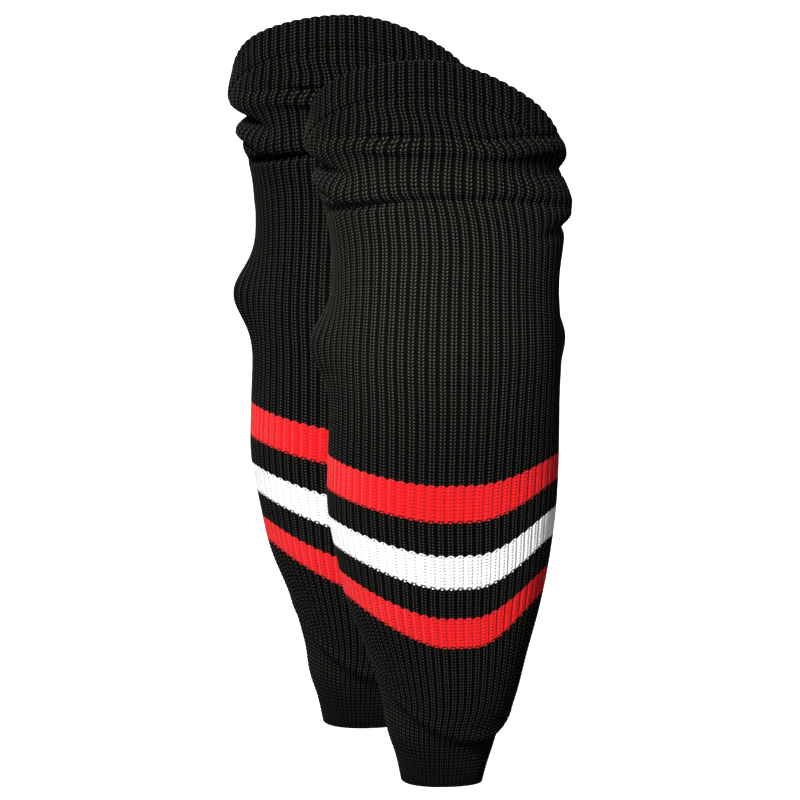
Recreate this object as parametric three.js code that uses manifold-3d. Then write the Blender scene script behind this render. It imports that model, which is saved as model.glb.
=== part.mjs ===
// A pair of ice hockey shin guards, each dressed in a knitted hockey sock, standing one behind the other.
// Millimetres, +Z up. Both guards face -Y, and the origin is on the floor at the middle of the pair.
//
// Every piece of a guard is a layer of one body form, `skin`: a point on it has a turn around the leg
// (0 at the front, +90 degrees at the +X side), a height, and an inset below the sock's outer face.

import * as THREE from "three";
import { mergeVertices } from "three/addons/utils/BufferGeometryUtils.js";
import Module from "manifold-3d";

const wasm = await Module();
wasm.setup();

// ---- Driving dimensions: millimetres, and degrees for turns ----------------------------------------

const GUARD_SPACING = 270; // between the two guards' centrelines, front to back
const SQUARENESS = 2.25; // 2 gives oval sections, more gives squarer ones

// Sections of the dressed guard: height, half width, reach to the front and back, sideways shift.
const SECTIONS = [
  { z: 0, side: 31, front: 33, back: 35, shift: -1 },
  { z: 20, side: 36, front: 39, back: 38, shift: -0.5 },
  { z: 40, side: 43.5, front: 47, back: 44, shift: 0.5 },
  { z: 65, side: 51, front: 56, back: 50, shift: 4 },
  { z: 103, side: 62, front: 65, back: 56, shift: 3 },
  { z: 141, side: 75, front: 71, back: 63, shift: 0.5 },
  { z: 178, side: 83, front: 75, back: 69, shift: 0 },
  { z: 216, side: 89, front: 78, back: 72, shift: -1 },
  { z: 254, side: 90, front: 80, back: 73, shift: 0 },
  { z: 300, side: 89.5, front: 83, back: 72, shift: 1 },
  { z: 345, side: 90, front: 87, back: 70, shift: 1 },
  { z: 396, side: 88, front: 84, back: 70, shift: 2 },
  { z: 434, side: 91.5, front: 82, back: 73, shift: 3 },
  { z: 470, side: 95, front: 82, back: 75, shift: -1 },
  { z: 510, side: 96.5, front: 81, back: 76, shift: -5 },
  { z: 545, side: 96, front: 79, back: 75, shift: -8 },
  { z: 580, side: 93, front: 76, back: 72, shift: -9 },
];

// The knee cap's side wings swell the form on both sides, behind the widest point.
const WING = { out: 16, height: 345, tall: 26, turn: 109, wide: 20 };

// The sock's top edge is high at the front and low behind, and its peak is turned towards -X.
const RIM = { middle: 505, rise: 80, flatten: 8, turn: -20, rear_drop: 0.2 };

const SOCK = { wall: 4, hem: 20, welt: 27 };
const STRIPE = { thick: 1.2, under: 2.2 }; // the black leg lies this far under the stripes' outer face
const LEG_WALL = 2.8;
// Each stripe's edges: the height in front, and how far it climbs towards -X and towards +X.
const STRIPES = {
  red_upper: { low: [215.6, 16, 25], high: [244.2, 13.5, 16] },
  white: { low: [162.4, 24.5, 33], high: [188.3, 21, 29.5] },
  red_lower: { low: [114.7, 33, 36], high: [138.2, 28, 33] },
};
// Turns from a stripe's lowest point at which its climb starts and ends, on each side.
const CLIMB = { lowest: -8, minus_side: [2, 80], plus_side: [14, 72] };

// Where the sock folds at the knee and at the thigh flap: height at the sides, and how much further
// forward that edge is raised at the front than at the sides.
const KNEE_FOLD = { low: [272, -19], high: [366, -14] };
const THIGH_FOLD = { low: [408, 14], high: [446, 6] };

const LAYER = { strap: 6.4, strap_thick: 1.8, shell: 9.2, shell_thick: 3.2 };
const TUCK = { from: 270, to: 298, depth: 8.5 }; // the shin shell's top slips behind the knee cap
const SHELL_HALF_TURN = 66;
const FLOOR_EDGE = { front: 36, climb: 50 }; // the guard's lower edge climbs to the sides
const GAP = 0.3; // between pieces that touch

const RING_STEPS = 30;
const RIVET = { head: 5, head_thick: 0.9, shank: 2, clearance: 0.4, turn: 58, height: 276 };

// ---- The body form ---------------------------------------------------------------------------------

const radians = THREE.MathUtils.degToRad;
const lerp = THREE.MathUtils.lerp;

/** The section at a height, by a smooth cubic through the stations. */
function sectionAt(z) {
  const last = SECTIONS.length - 2;
  const found = SECTIONS.findIndex((s, k) => k > 0 && z <= s.z) - 1;
  const i = found < 0 ? last : Math.min(found, last);
  const [a, b] = [SECTIONS[i], SECTIONS[i + 1]];
  const [before, after] = [SECTIONS[Math.max(i - 1, 0)], SECTIONS[Math.min(i + 2, last + 1)]];
  const span = b.z - a.z;
  const t = THREE.MathUtils.clamp((z - a.z) / span, 0, 1);
  const blend = (key) => {
    const leave = ((b[key] - before[key]) / (b.z - before.z)) * span;
    const arrive = ((after[key] - a[key]) / (after.z - a.z)) * span;
    return (
      a[key] * (2 * t ** 3 - 3 * t ** 2 + 1) +
      leave * (t ** 3 - 2 * t ** 2 + t) +
      b[key] * (3 * t ** 2 - 2 * t ** 3) +
      arrive * (t ** 3 - t ** 2)
    );
  };
  return { side: blend("side"), front: blend("front"), back: blend("back"), shift: blend("shift") };
}

/** The swell of the knee cap's wing at a turn in degrees and a height. */
function wingAt(turn, z) {
  const around = (Math.abs(wrapTurn(turn)) - WING.turn) / WING.wide;
  const along = (z - WING.height) / WING.tall;
  return WING.out * Math.exp(-around * around - along * along);
}

/** A turn brought into -180 to 180 degrees. */
function wrapTurn(turn) {
  return THREE.MathUtils.euclideanModulo(turn + 180, 360) - 180;
}

/** The point of the form at a turn in degrees and a height, pushed in by inset. */
function skin(turn, z, inset) {
  const s = sectionAt(z);
  const [sin, cos] = [Math.sin(radians(turn)), Math.cos(radians(turn))];
  const depth = cos > 0 ? s.front : s.back;
  const oval = Math.abs(sin / s.side) ** SQUARENESS + Math.abs(cos / depth) ** SQUARENESS;
  const r = oval ** (-1 / SQUARENESS) + wingAt(turn, z) - inset;
  return [s.shift + r * sin, -r * cos, z];
}

/** Height of the sock's top edge at a turn. */
function rim(turn) {
  const c = Math.cos(radians(turn - RIM.turn));
  const soft = c >= 0 ? c : RIM.rear_drop * Math.tanh(c / RIM.rear_drop);
  return RIM.middle + RIM.rise * soft - RIM.flatten * Math.cos(2 * radians(turn - RIM.turn));
}

/** Height, at a turn, of a knitted row that is lowest in front and climbs to the sides. */
function row(turn, [front, minusClimb, plusClimb]) {
  const away = wrapTurn(turn - CLIMB.lowest);
  const [start, end] = away < 0 ? CLIMB.minus_side : CLIMB.plus_side;
  const share = THREE.MathUtils.smoothstep(Math.abs(away), start, end);
  return front + share * lerp(minusClimb, plusClimb, 0.5 + 0.5 * Math.sin(radians(turn)));
}

const slanted = ([side, rise]) => (turn) => side + rise * Math.cos(radians(turn));
const guardLow = (turn) => FLOOR_EDGE.front + FLOOR_EDGE.climb * (1 - Math.cos(radians(turn)));
const tuck = (z) => LAYER.shell + TUCK.depth * THREE.MathUtils.smoothstep(z, TUCK.from, TUCK.to);

// ---- Makers of solids ------------------------------------------------------------------------------

/** Moves each vertex of a geometry through a function of its x, y and z. */
function reshape(geometry, move) {
  const position = geometry.getAttribute("position");
  for (let i = 0; i < position.count; i++)
    position.setXYZ(i, ...move(position.getX(i), position.getY(i), position.getZ(i)));
  return geometry;
}

const asFunction = (value) => (typeof value === "function" ? value : () => value);

/** A closed ring around the leg between two heights, from inset `outer` to `outer + thick`. */
function ring({ low, high, outer = 0, thick = SOCK.wall, rows = 1 }) {
  const [bottom, top] = [asFunction(low), asFunction(high)];
  const levels = Array.from({ length: rows + 1 }, (_, k) => k / rows);
  const [near, far] = [1, 2]; // lathe radii that stand for the inner and outer face
  const profile = [
    ...levels.map((v) => new THREE.Vector2(far, v)),
    ...levels.toReversed().map((v) => new THREE.Vector2(near, v)),
    new THREE.Vector2(far, 0),
  ];
  return reshape(new THREE.LatheGeometry(profile, RING_STEPS), (x, v, z) => {
    const turn = THREE.MathUtils.radToDeg(Math.atan2(x, z));
    const share = Math.hypot(x, z) - near;
    return skin(turn, lerp(bottom(turn), top(turn), v), outer + thick * (1 - share));
  });
}

/** A curved plate over part of the form. outer may be a function of height, and thick a number. */
function plate({ from, to, low, high, outer, thick, steps = [8, 4] }) {
  const [bottom, top, depth] = [asFunction(low), asFunction(high), asFunction(outer)];
  return reshape(new THREE.BoxGeometry(1, 1, 1, ...steps, 1), (x, y, out) => {
    const turn = lerp(from, to, x + 0.5);
    const z = lerp(bottom(turn), top(turn), y + 0.5);
    return skin(turn, z, depth(z) + thick * (0.5 - out));
  });
}

/** A flat outline with a slot, bent round the form: the loop that a strap's end passes through. */
function clip({ turn, z, width, height, slot, outer, thick }) {
  const outline = new THREE.Shape();
  const corner = height / 4;
  outline.moveTo(-width / 2, -height / 2 + corner);
  outline.quadraticCurveTo(-width / 2, -height / 2, -width / 2 + corner, -height / 2);
  outline.lineTo(width / 2, -height / 2);
  outline.lineTo(width / 2, height / 2);
  outline.lineTo(-width / 2 + corner, height / 2);
  outline.quadraticCurveTo(-width / 2, height / 2, -width / 2, height / 2 - corner);
  const hole = new THREE.Path();
  hole.moveTo(slot.x, -slot.tall / 2);
  hole.lineTo(slot.x, slot.tall / 2);
  hole.lineTo(slot.x + slot.wide, slot.tall / 2);
  hole.lineTo(slot.x + slot.wide, -slot.tall / 2);
  outline.holes.push(hole);
  const flat = new THREE.ExtrudeGeometry(outline, { depth: 1, bevelEnabled: false, curveSegments: 3 });
  const reach = sectionAt(z).side; // turns arc length into degrees
  return reshape(flat, (x, y, out) =>
    skin(turn + THREE.MathUtils.radToDeg(x / reach), z + y, outer + thick * (1 - out)),
  );
}

/** Stands a lathe geometry on the form, its axis pointing out of the leg. */
function onSkin(geometry, turn, z, inset) {
  const [here, out] = [skin(turn, z, inset), skin(turn, z, inset - 10)];
  const outward = new THREE.Vector3(...out).sub(new THREE.Vector3(...here)).normalize();
  geometry.applyQuaternion(new THREE.Quaternion().setFromUnitVectors(new THREE.Vector3(0, 1, 0), outward));
  return geometry.translate(...here);
}

/** A rivet: a low domed head outside the strap and a shank through strap and shell. */
function rivet(turn) {
  const length = LAYER.shell + LAYER.shell_thick + 1 - LAYER.strap;
  const points = [
    [0, -length],
    [RIVET.shank, -length],
    [RIVET.shank, GAP],
    [RIVET.head, GAP],
    [RIVET.head * 0.8, RIVET.head_thick],
    [0, RIVET.head_thick],
  ].map(([r, y]) => new THREE.Vector2(r, y));
  return onSkin(new THREE.LatheGeometry(points, 10), turn, RIVET.height, LAYER.strap);
}

/** The closed solid of a geometry, for a boolean cut. */
function solidOf(geometry) {
  const bare = geometry.clone();
  bare.deleteAttribute("normal");
  bare.deleteAttribute("uv");
  const merged = mergeVertices(bare, 1e-3);
  const mesh = new wasm.Mesh({
    numProp: 3,
    vertProperties: new Float32Array(merged.getAttribute("position").array),
    triVerts: new Uint32Array(merged.index.array),
  });
  return new wasm.Manifold(mesh);
}

/** A geometry with a round hole through it for each rivet's shank. */
function drilled(geometry, turns) {
  const reach = 40;
  const cut = turns.reduce((left, turn) => {
    const drill = new THREE.CylinderGeometry(
      RIVET.shank + RIVET.clearance,
      RIVET.shank + RIVET.clearance,
      reach,
      10,
    );
    return left.subtract(solidOf(onSkin(drill, turn, RIVET.height, LAYER.shell)));
  }, solidOf(geometry));
  const { vertProperties, triVerts } = cut.getMesh();
  return new THREE.BufferGeometry()
    .setAttribute("position", new THREE.BufferAttribute(vertProperties, 3))
    .setIndex(new THREE.BufferAttribute(triVerts, 1));
}

// ---- Materials -------------------------------------------------------------------------------------

const finish = (color, roughness) => new THREE.MeshStandardMaterial({ color, roughness, metalness: 0 });
const MATERIAL = {
  black_yarn: finish(0x1c1c1a, 0.9),
  red_yarn: finish(0xe0161c, 0.85),
  white_yarn: finish(0xf2f3f1, 0.85),
  shell_plastic: finish(0xe9e9e6, 0.35),
  clip_plastic: finish(0x17181a, 0.4),
  foam: finish(0x3a3d42, 0.95),
  webbing: finish(0x202124, 0.8),
  rivet_steel: new THREE.MeshStandardMaterial({ color: 0xb9bcc0, roughness: 0.35, metalness: 0.9 }),
};

// ---- Sub-parts of one guard ------------------------------------------------------------------------

/** The knitted sock: one tube, cut into rings where it folds or changes yarn. */
function sockPieces() {
  const stripe = ({ low, high }) =>
    ring({ low: (t) => row(t, low), high: (t) => row(t, high), thick: STRIPE.thick });
  const leg = (low, high, rows) => ring({ low, high, outer: STRIPE.under, thick: LEG_WALL, rows });
  const above = (edge) => (turn) => slanted(edge)(turn) + GAP;
  const black = (low, high, rows) => ring({ low: above(low), high: slanted(high), rows });
  const welt = (turn) => rim(turn) - SOCK.welt;
  return {
    sock_hem: [ring({ low: 0, high: SOCK.hem }), "black_yarn"],
    sock_ankle: [leg(SOCK.hem + GAP, (t) => row(t, STRIPES.red_lower.low) - GAP, 4), "black_yarn"],
    sock_leg: [leg((t) => row(t, STRIPES.red_lower.low), slanted(KNEE_FOLD.low), 6), "black_yarn"],
    sock_stripe_red_upper: [stripe(STRIPES.red_upper), "red_yarn"],
    sock_stripe_white: [stripe(STRIPES.white), "white_yarn"],
    sock_stripe_red_lower: [stripe(STRIPES.red_lower), "red_yarn"],
    sock_knee_fold: [black(KNEE_FOLD.low, KNEE_FOLD.high, 4), "black_yarn"],
    sock_knee: [black(KNEE_FOLD.high, THIGH_FOLD.low, 2), "black_yarn"],
    sock_thigh_fold: [black(THIGH_FOLD.low, THIGH_FOLD.high, 1), "black_yarn"],
    sock_thigh: [
      ring({ low: above(THIGH_FOLD.high), high: (t) => welt(t) - 2 * GAP, rows: 2 }),
      "black_yarn",
    ],
    sock_welt: [ring({ low: welt, high: rim }), "black_yarn"],
  };
}

/** The rigid shin plate with its foam, its bumper, and the rivets that hold the knee cap's links. */
function shinPieces() {
  const shell = plate({
    from: -SHELL_HALF_TURN,
    to: SHELL_HALF_TURN,
    low: (t) => guardLow(t) + 27,
    high: (t) => 308 - 22 * (t / SHELL_HALF_TURN) ** 2,
    outer: tuck,
    thick: LAYER.shell_thick,
    steps: [11, 9],
  });
  return {
    shin_shell: [drilled(shell, [-RIVET.turn, RIVET.turn]), "shell_plastic"],
    shin_liner: [
      plate({ from: -60, to: 60, low: (t) => guardLow(t) + 34, high: 262, outer: 14, thick: 9, steps: [9, 6] }),
      "foam",
    ],
    ankle_bumper: [
      plate({
        from: -62,
        to: 62,
        low: guardLow,
        high: (t) => guardLow(t) + 26,
        outer: 7,
        thick: 8,
        steps: [9, 1],
      }),
      "foam",
    ],
    link_rivet_right: [rivet(RIVET.turn), "rivet_steel"],
    link_rivet_left: [rivet(-RIVET.turn), "rivet_steel"],
  };
}

/** The two padded wings that close round the calf, with the straps and clips that hold them. */
function calfPieces(outside) {
  const wrapLow = (t) => 92 + 14 * Math.cos(radians(2 * t));
  const wrapHigh = (t) => 246 + 10 * Math.cos(radians(2 * t));
  const wrap = (from, to) =>
    plate({ from, to, low: wrapLow, high: wrapHigh, outer: LAYER.shell + 0.4, thick: 7, steps: [9, 5] });
  const strap = (low, high) =>
    plate({
      from: 48,
      to: 312,
      low,
      high,
      outer: LAYER.strap,
      thick: LAYER.strap_thick,
      steps: [22, 2],
    });
  const strapClip = (z, height) =>
    clip({
      turn: outside * 37,
      z,
      width: 20,
      height,
      slot: { x: outside > 0 ? 2 : -6, wide: 4, tall: height - 8 },
      outer: LAYER.strap,
      thick: 2,
    });
  return {
    calf_wrap_right: [wrap(SHELL_HALF_TURN + 2, 176), "foam"],
    calf_wrap_left: [wrap(-176, -SHELL_HALF_TURN - 2), "foam"],
    calf_strap_upper: [strap(200, 236), "webbing"],
    calf_strap_lower: [strap(122, 150), "webbing"],
    strap_clip_upper: [strapClip(218, 40), "clip_plastic"],
    strap_clip_lower: [strapClip(136, 32), "clip_plastic"],
  };
}

/** The knee cap: shell with side wings, foam cup, the sling behind the knee, and the links to the shin. */
function kneePieces() {
  const shell = {
    low: (t) => 302 + 16 * (t / 120) ** 2,
    high: (t) => 412 - 34 * (t / 120) ** 2,
  };
  const rimIn = (z) =>
    LAYER.shell + 3.2 * (1 - THREE.MathUtils.smoothstep(z, 300, 322)) + THREE.MathUtils.smoothstep(z, 398, 414);
  const link = (turn) =>
    plate({
      from: turn - 6,
      to: turn + 6,
      low: 264,
      high: 336,
      outer: LAYER.strap,
      thick: LAYER.strap_thick,
      steps: [2, 4],
    });
  return {
    knee_shell: [
      plate({ from: -118, to: 118, ...shell, outer: rimIn, thick: LAYER.shell_thick, steps: [16, 5] }),
      "shell_plastic",
    ],
    knee_liner: [
      plate({
        from: -70,
        to: 70,
        low: 318,
        high: 398,
        outer: LAYER.shell + 8,
        thick: 11,
        steps: [9, 4],
      }),
      "foam",
    ],
    knee_sling: [
      plate({ from: 122, to: 238, low: 352, high: 382, outer: LAYER.shell, thick: 2, steps: [9, 1] }),
      "webbing",
    ],
    knee_link_right: [drilled(link(RIVET.turn), [RIVET.turn]), "webbing"],
    knee_link_left: [drilled(link(-RIVET.turn), [-RIVET.turn]), "webbing"],
  };
}

/** The padded flap above the knee cap, its outer plate, and the webbing it hangs from. */
function thighPieces() {
  const arch = (peak, drop, half) => (t) => peak - drop * (t / half) ** 2;
  return {
    thigh_plate: [
      plate({ from: -46, to: 46, low: 440, high: arch(544, 30, 46), outer: 7, thick: 2.4, steps: [7, 4] }),
      "shell_plastic",
    ],
    thigh_pad: [
      plate({ from: -64, to: 64, low: 434, high: arch(560, 56, 64), outer: 16.5, thick: 11, steps: [10, 4] }),
      "foam",
    ],
    thigh_hinge: [
      plate({ from: -20, to: 20, low: 386, high: 454, outer: 14.3, thick: 1.6, steps: [3, 2] }),
      "webbing",
    ],
  };
}

/** One dressed guard, standing on its hem at the origin. outside is +1 or -1: the side of the clips. */
function guard(name, outside) {
  const pieces = {
    ...sockPieces(),
    ...shinPieces(),
    ...calfPieces(outside),
    ...kneePieces(),
    ...thighPieces(),
  };
  const group = new THREE.Group();
  for (const [piece, [geometry, material]] of Object.entries(pieces)) {
    const mesh = new THREE.Mesh(geometry, MATERIAL[material]);
    mesh.name = `${name}_${piece}`;
    group.add(mesh);
  }
  return group;
}

// ---- The pair --------------------------------------------------------------------------------------

const left = guard("left", 1);
left.position.y = -GUARD_SPACING / 2;
const right = guard("right", -1);
right.position.y = GUARD_SPACING / 2;

const pair = new THREE.Group();
pair.add(left, right);

// The origin goes to the middle of the pair's outline.
const outline = new THREE.Box3().setFromObject(pair);
const middle = outline.getCenter(new THREE.Vector3());
pair.position.set(-middle.x, -middle.y, 0);

export default pair;
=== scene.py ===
"""A pair of ice hockey shin guards in their ribbed knit socks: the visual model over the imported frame.

Lengths are in millimetres until a mesh is made, and turns around a leg are in degrees: 0 at its front,
+90 at its +X side. The knit is counted in ribs around the leg and in courses, its rows of stitches, up it.
"""
import math

import bpy
import numpy as np
from mathutils import Matrix, Vector


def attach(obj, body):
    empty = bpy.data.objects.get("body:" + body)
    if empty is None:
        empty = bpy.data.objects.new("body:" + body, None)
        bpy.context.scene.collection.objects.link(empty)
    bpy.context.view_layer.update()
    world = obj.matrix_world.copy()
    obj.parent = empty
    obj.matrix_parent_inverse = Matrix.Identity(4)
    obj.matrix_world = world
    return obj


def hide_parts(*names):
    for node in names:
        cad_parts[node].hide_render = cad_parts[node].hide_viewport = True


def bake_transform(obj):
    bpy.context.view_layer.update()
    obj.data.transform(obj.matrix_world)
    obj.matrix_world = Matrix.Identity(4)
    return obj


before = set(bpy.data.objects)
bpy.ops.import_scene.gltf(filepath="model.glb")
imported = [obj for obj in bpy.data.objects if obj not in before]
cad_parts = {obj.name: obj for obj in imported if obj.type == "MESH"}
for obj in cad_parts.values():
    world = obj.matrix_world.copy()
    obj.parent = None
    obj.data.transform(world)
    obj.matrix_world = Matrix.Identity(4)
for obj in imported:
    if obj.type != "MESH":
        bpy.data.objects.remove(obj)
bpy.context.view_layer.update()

MM = 0.001

# ---- The body form, as the frame has it -------------------------------------------------------------

MIDDLE = (1.3, 5.73)  # the pair's own centreline, from the origin at the middle of its outline
SPACING = 270.0
GUARDS = {"left": (MIDDLE[0], MIDDLE[1] - SPACING / 2), "right": (MIDDLE[0], MIDDLE[1] + SPACING / 2)}
SQUARENESS = 2.25
# height, half width, reach to the front and to the back, sideways shift
SECTIONS = np.array([
    (0, 31, 33, 35, -1),
    (20, 36, 39, 38, -0.5),
    (40, 43.5, 47, 44, 0.5),
    (65, 51, 56, 50, 4),
    (103, 62, 65, 56, 3),
    (141, 75, 71, 63, 0.5),
    (178, 83, 75, 69, 0),
    (216, 89, 78, 72, -1),
    (254, 90, 80, 73, 0),
    (300, 89.5, 83, 72, 1),
    (345, 90, 87, 70, 1),
    (396, 88, 84, 70, 2),
    (434, 91.5, 82, 73, 3),
    (470, 95, 82, 75, -1),
    (510, 96.5, 81, 76, -5),
    (545, 96, 79, 75, -8),
    (580, 93, 76, 72, -9),
], float)
WING = {"out": 16, "height": 345, "tall": 26, "turn": 109, "wide": 20}
RIM = {"middle": 505, "rise": 80, "flatten": 8, "turn": -20, "rear_drop": 0.2}
HEM_TOP = 20
WELT = 27
RED_LOWER = ((114.7, 33, 36), (138.2, 28, 33))  # each edge: height in front, climb to -X, climb to +X
WHITE = ((162.4, 24.5, 33), (188.3, 21, 29.5))
RED_UPPER = ((215.6, 16, 25), (244.2, 13.5, 16))
CLIMB = {"lowest": -8, "minus_side": (2, 80), "plus_side": (14, 72)}
LEDGE = {"front": 36.5, "climb": 38, "lowest": 20}  # the guard's lower edge, which shows through the knit


def wrap_turn(turn):
    return (turn + 180) % 360 - 180


def section(z):
    """The form's half width, front, back and shift at heights z, by a smooth cubic through the stations."""
    z = np.asarray(z, float)
    stations, last = SECTIONS[:, 0], len(SECTIONS) - 2
    i = np.clip(np.searchsorted(stations, z) - 1, 0, last)
    before, after = np.maximum(i - 1, 0), np.minimum(i + 2, last + 1)
    span = stations[i + 1] - stations[i]
    t = np.clip((z - stations[i]) / span, 0, 1)[..., None]
    here, there = SECTIONS[i, 1:], SECTIONS[i + 1, 1:]
    leave = (there - SECTIONS[before, 1:]) * (span / (stations[i + 1] - stations[before]))[..., None]
    arrive = (SECTIONS[after, 1:] - here) * (span / (stations[after] - stations[i]))[..., None]
    value = (here * (2 * t**3 - 3 * t**2 + 1) + leave * (t**3 - 2 * t**2 + t)
             + there * (3 * t**2 - 2 * t**3) + arrive * (t**3 - t**2))
    return value[..., 0], value[..., 1], value[..., 2], value[..., 3]


def skin(turn, z, inset):
    """Points of the form at turns and heights, pushed in by inset, around a leg at the origin."""
    turn, z, inset = np.broadcast_arrays(turn, z, inset)
    side, front, back, shift = section(z)
    sin, cos = np.sin(np.radians(turn)), np.cos(np.radians(turn))
    depth = np.where(cos > 0, front, back)
    oval = np.abs(sin / side) ** SQUARENESS + np.abs(cos / depth) ** SQUARENESS
    around = (np.abs(wrap_turn(turn)) - WING["turn"]) / WING["wide"]
    along = (z - WING["height"]) / WING["tall"]
    r = oval ** (-1 / SQUARENESS) + WING["out"] * np.exp(-(around**2) - along**2) - inset
    return np.stack([shift + r * sin, -r * cos, z], axis=-1)


def rim(turn):
    """Height of the sock's top edge."""
    angle = np.radians(np.asarray(turn, float) - RIM["turn"])
    c, drop = np.cos(angle), RIM["rear_drop"]
    soft = np.where(c >= 0, c, drop * np.tanh(c / drop))
    return RIM["middle"] + RIM["rise"] * soft - RIM["flatten"] * np.cos(2 * angle)


def smoothstep(low, high, x):
    t = np.clip((x - low) / (high - low), 0, 1)
    return t * t * (3 - 2 * t)


def row(turn, edge):
    """Height of a stripe's edge, lowest in front and climbing to the sides."""
    front, minus_climb, plus_climb = edge
    away = wrap_turn(np.asarray(turn, float) - CLIMB["lowest"])
    share = np.where(away < 0, smoothstep(*CLIMB["minus_side"], -away),
                     smoothstep(*CLIMB["plus_side"], away))
    plus_share = 0.5 + 0.5 * np.sin(np.radians(turn))
    return front + share * (minus_climb + (plus_climb - minus_climb) * plus_share)


# ---- The knit's own coordinates ---------------------------------------------------------------------

RIBS = 66
RIB_COLUMNS = 9  # mesh columns to a rib: a multiple of 3
COURSE_ROWS = 3  # mesh rows to a course
INNER_STEP = 3  # the inner face has a column for every third one outside
INNER_DETAIL = 0.45  # how much of the outer face's relief the inner one has
RIB_REFERENCE = 300  # the height at which the ribs are evenly spread
ROLL_COURSE = 0.35  # courses to each mesh row of the welt's rounded edge
ROLL_FLATNESS = 0.7
WALL = {"doubled": 4.0, "single": 3.4}  # the knit's thickness, at the hem and welt and elsewhere

WELT_COURSE = 213  # the first course of the welt

# Courses counted from the bottom, and the height of each of these rows around the leg.
COURSES = [
    (0, lambda turn: 0 * turn),
    (8, lambda turn: HEM_TOP + 0 * turn),
    (48, lambda turn: row(turn, RED_LOWER[0])),
    (57, lambda turn: row(turn, RED_LOWER[1])),
    (67, lambda turn: row(turn, WHITE[0])),
    (77, lambda turn: row(turn, WHITE[1])),
    (88, lambda turn: row(turn, RED_UPPER[0])),
    (98, lambda turn: row(turn, RED_UPPER[1])),
    (WELT_COURSE, lambda turn: rim(turn) - WELT),
    (223, rim),
]
LAST_COURSE = COURSES[-1][0]


def rib_turns():
    """The turn of each mesh column, so that the ribs are evenly spaced around the reference section."""
    fine = np.linspace(-180, 180, 1441)
    points = skin(fine, RIB_REFERENCE, 0)
    length = np.concatenate([[0], np.cumsum(np.linalg.norm(np.diff(points, axis=0), axis=1))])
    columns = np.arange(RIBS * RIB_COLUMNS) / (RIBS * RIB_COLUMNS)
    return np.interp(columns * length[-1], length, fine)


def course_height(turn, course):
    """Height of a course, or of any share of one, at turns around the leg."""
    turn, course = np.broadcast_arrays(np.asarray(turn, float), np.asarray(course, float))
    counts = np.array([count for count, _ in COURSES], float)
    heights = np.stack([line(turn) for _, line in COURSES])
    i = np.clip(np.searchsorted(counts, course, side="right") - 1, 0, len(counts) - 2)
    share = (course - counts[i]) / (counts[i + 1] - counts[i])
    low = np.take_along_axis(heights, i[None], axis=0)[0]
    high = np.take_along_axis(heights, i[None] + 1, axis=0)[0]
    return low + (high - low) * share


# ---- Folds, ledges and stitches ---------------------------------------------------------------------

# Rolls of slack knit above the knee: turn at the middle, half length in turn, height there, slope in
# millimetres to 10 degrees, how far it stands out, half its height, depth of its crease, and whether
# that crease is above it (+1) or under it (-1).
FOLDS = [
    (-12, 128, 480, 0.0, 3.4, 7.5, 1.8, -1),
    (-64, 34, 470, 2.8, 3.2, 6.5, 5.5, -1),
    (-92, 30, 478, -1.2, 5.5, 6.0, 4.5, -1),
    (-96, 40, 506, -0.4, 7.5, 13.0, 9.0, -1),
    (-26, 66, 512, 0.0, 4.2, 6.5, 3.0, 1),
    (-36, 16, 513, 0.2, 1.8, 5.0, 5.5, 1),
    (38, 44, 507, -0.6, 4.6, 7.0, 3.6, 1),
    (52, 36, 486, -0.6, -5.5, 9.0, 0.0, -1),
    (78, 46, 454, -0.4, 6.0, 12.0, 3.0, -1),
    (92, 36, 497, 0.6, 4.5, 11.0, 2.5, -1),
    (150, 46, 455, -0.8, 6.0, 8.0, 4.0, -1),
    (176, 50, 434, 0.8, 6.5, 9.0, 4.5, -1),
    (-150, 42, 449, 1.2, 6.5, 9.0, 4.0, -1),
    (-140, 40, 427, -0.6, 4.5, 8.0, 3.5, -1),
    (125, 36, 424, 0.8, 4.5, 9.0, 3.0, -1),
]
DROOP = 17.0  # how much lower a roll is a quarter turn from its middle
DEEPEST = {"front": 3.0, "side": 9.0}  # creases stop short of the thigh flap's plate
CREASE_AT = 1.25  # of the roll's half height, away from its ridge
CREASE_WIDTH = 0.42
ROLL_SAG = 0.45  # how far a roll hangs down, of how far it stands out


def folds(turn, z):
    """How far the slack knit stands out of the form, and how far it hangs."""
    out, sag = np.zeros(np.shape(z)), np.zeros(np.shape(z))
    for middle, half, height, slope, proud, tall, crease, side in FOLDS:
        away = wrap_turn(turn - middle)
        window = np.clip(1 - (away / half) ** 2, 0, 1) ** 1.5
        line = height + slope * away / 10 - DROOP * (1 - np.cos(np.radians(away)))
        s = (z - line) / tall
        roll = np.exp(-np.where(s > 0, s / 1.3, s / 0.8) ** 2)
        cut = np.exp(-(((s - side * CREASE_AT) / CREASE_WIDTH) ** 2))
        out += window * (proud * roll - crease * cut)
        sag += window * proud * ROLL_SAG * np.exp(-(((s + 0.2) / 0.9) ** 2))
    front = 1 - smoothstep(52, 66, np.abs(wrap_turn(turn)))
    return np.maximum(out, -DEEPEST["side"] + (DEEPEST["side"] - DEEPEST["front"]) * front), sag


def ledge(turn, z):
    """The step in the knit where it leaves the guard's lower edge."""
    edge = LEDGE["front"] + LEDGE["climb"] * (1 - np.cos(np.radians(turn - LEDGE["lowest"])))
    s = (z - edge) / 3.2
    shown = smoothstep(-0.35, 0.1, np.cos(np.radians(turn)))
    return shown * (1.6 * np.exp(-((s - 0.9) ** 2) / 2.4) - 2.4 * smoothstep(1.0, -1.6, s)
                    * (1 - smoothstep(-2.0, -9.0, s)))


def rib_depth(turn, z):
    """Depth of the valleys between ribs: deep where the knit is slack, shallow where it is stretched."""
    slack = smoothstep(395, 470, z)
    stretched = smoothstep(120, 60, z)
    return 1.5 + 1.1 * slack - 0.55 * stretched - 0.3 * smoothstep(45, 20, z)


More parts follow.
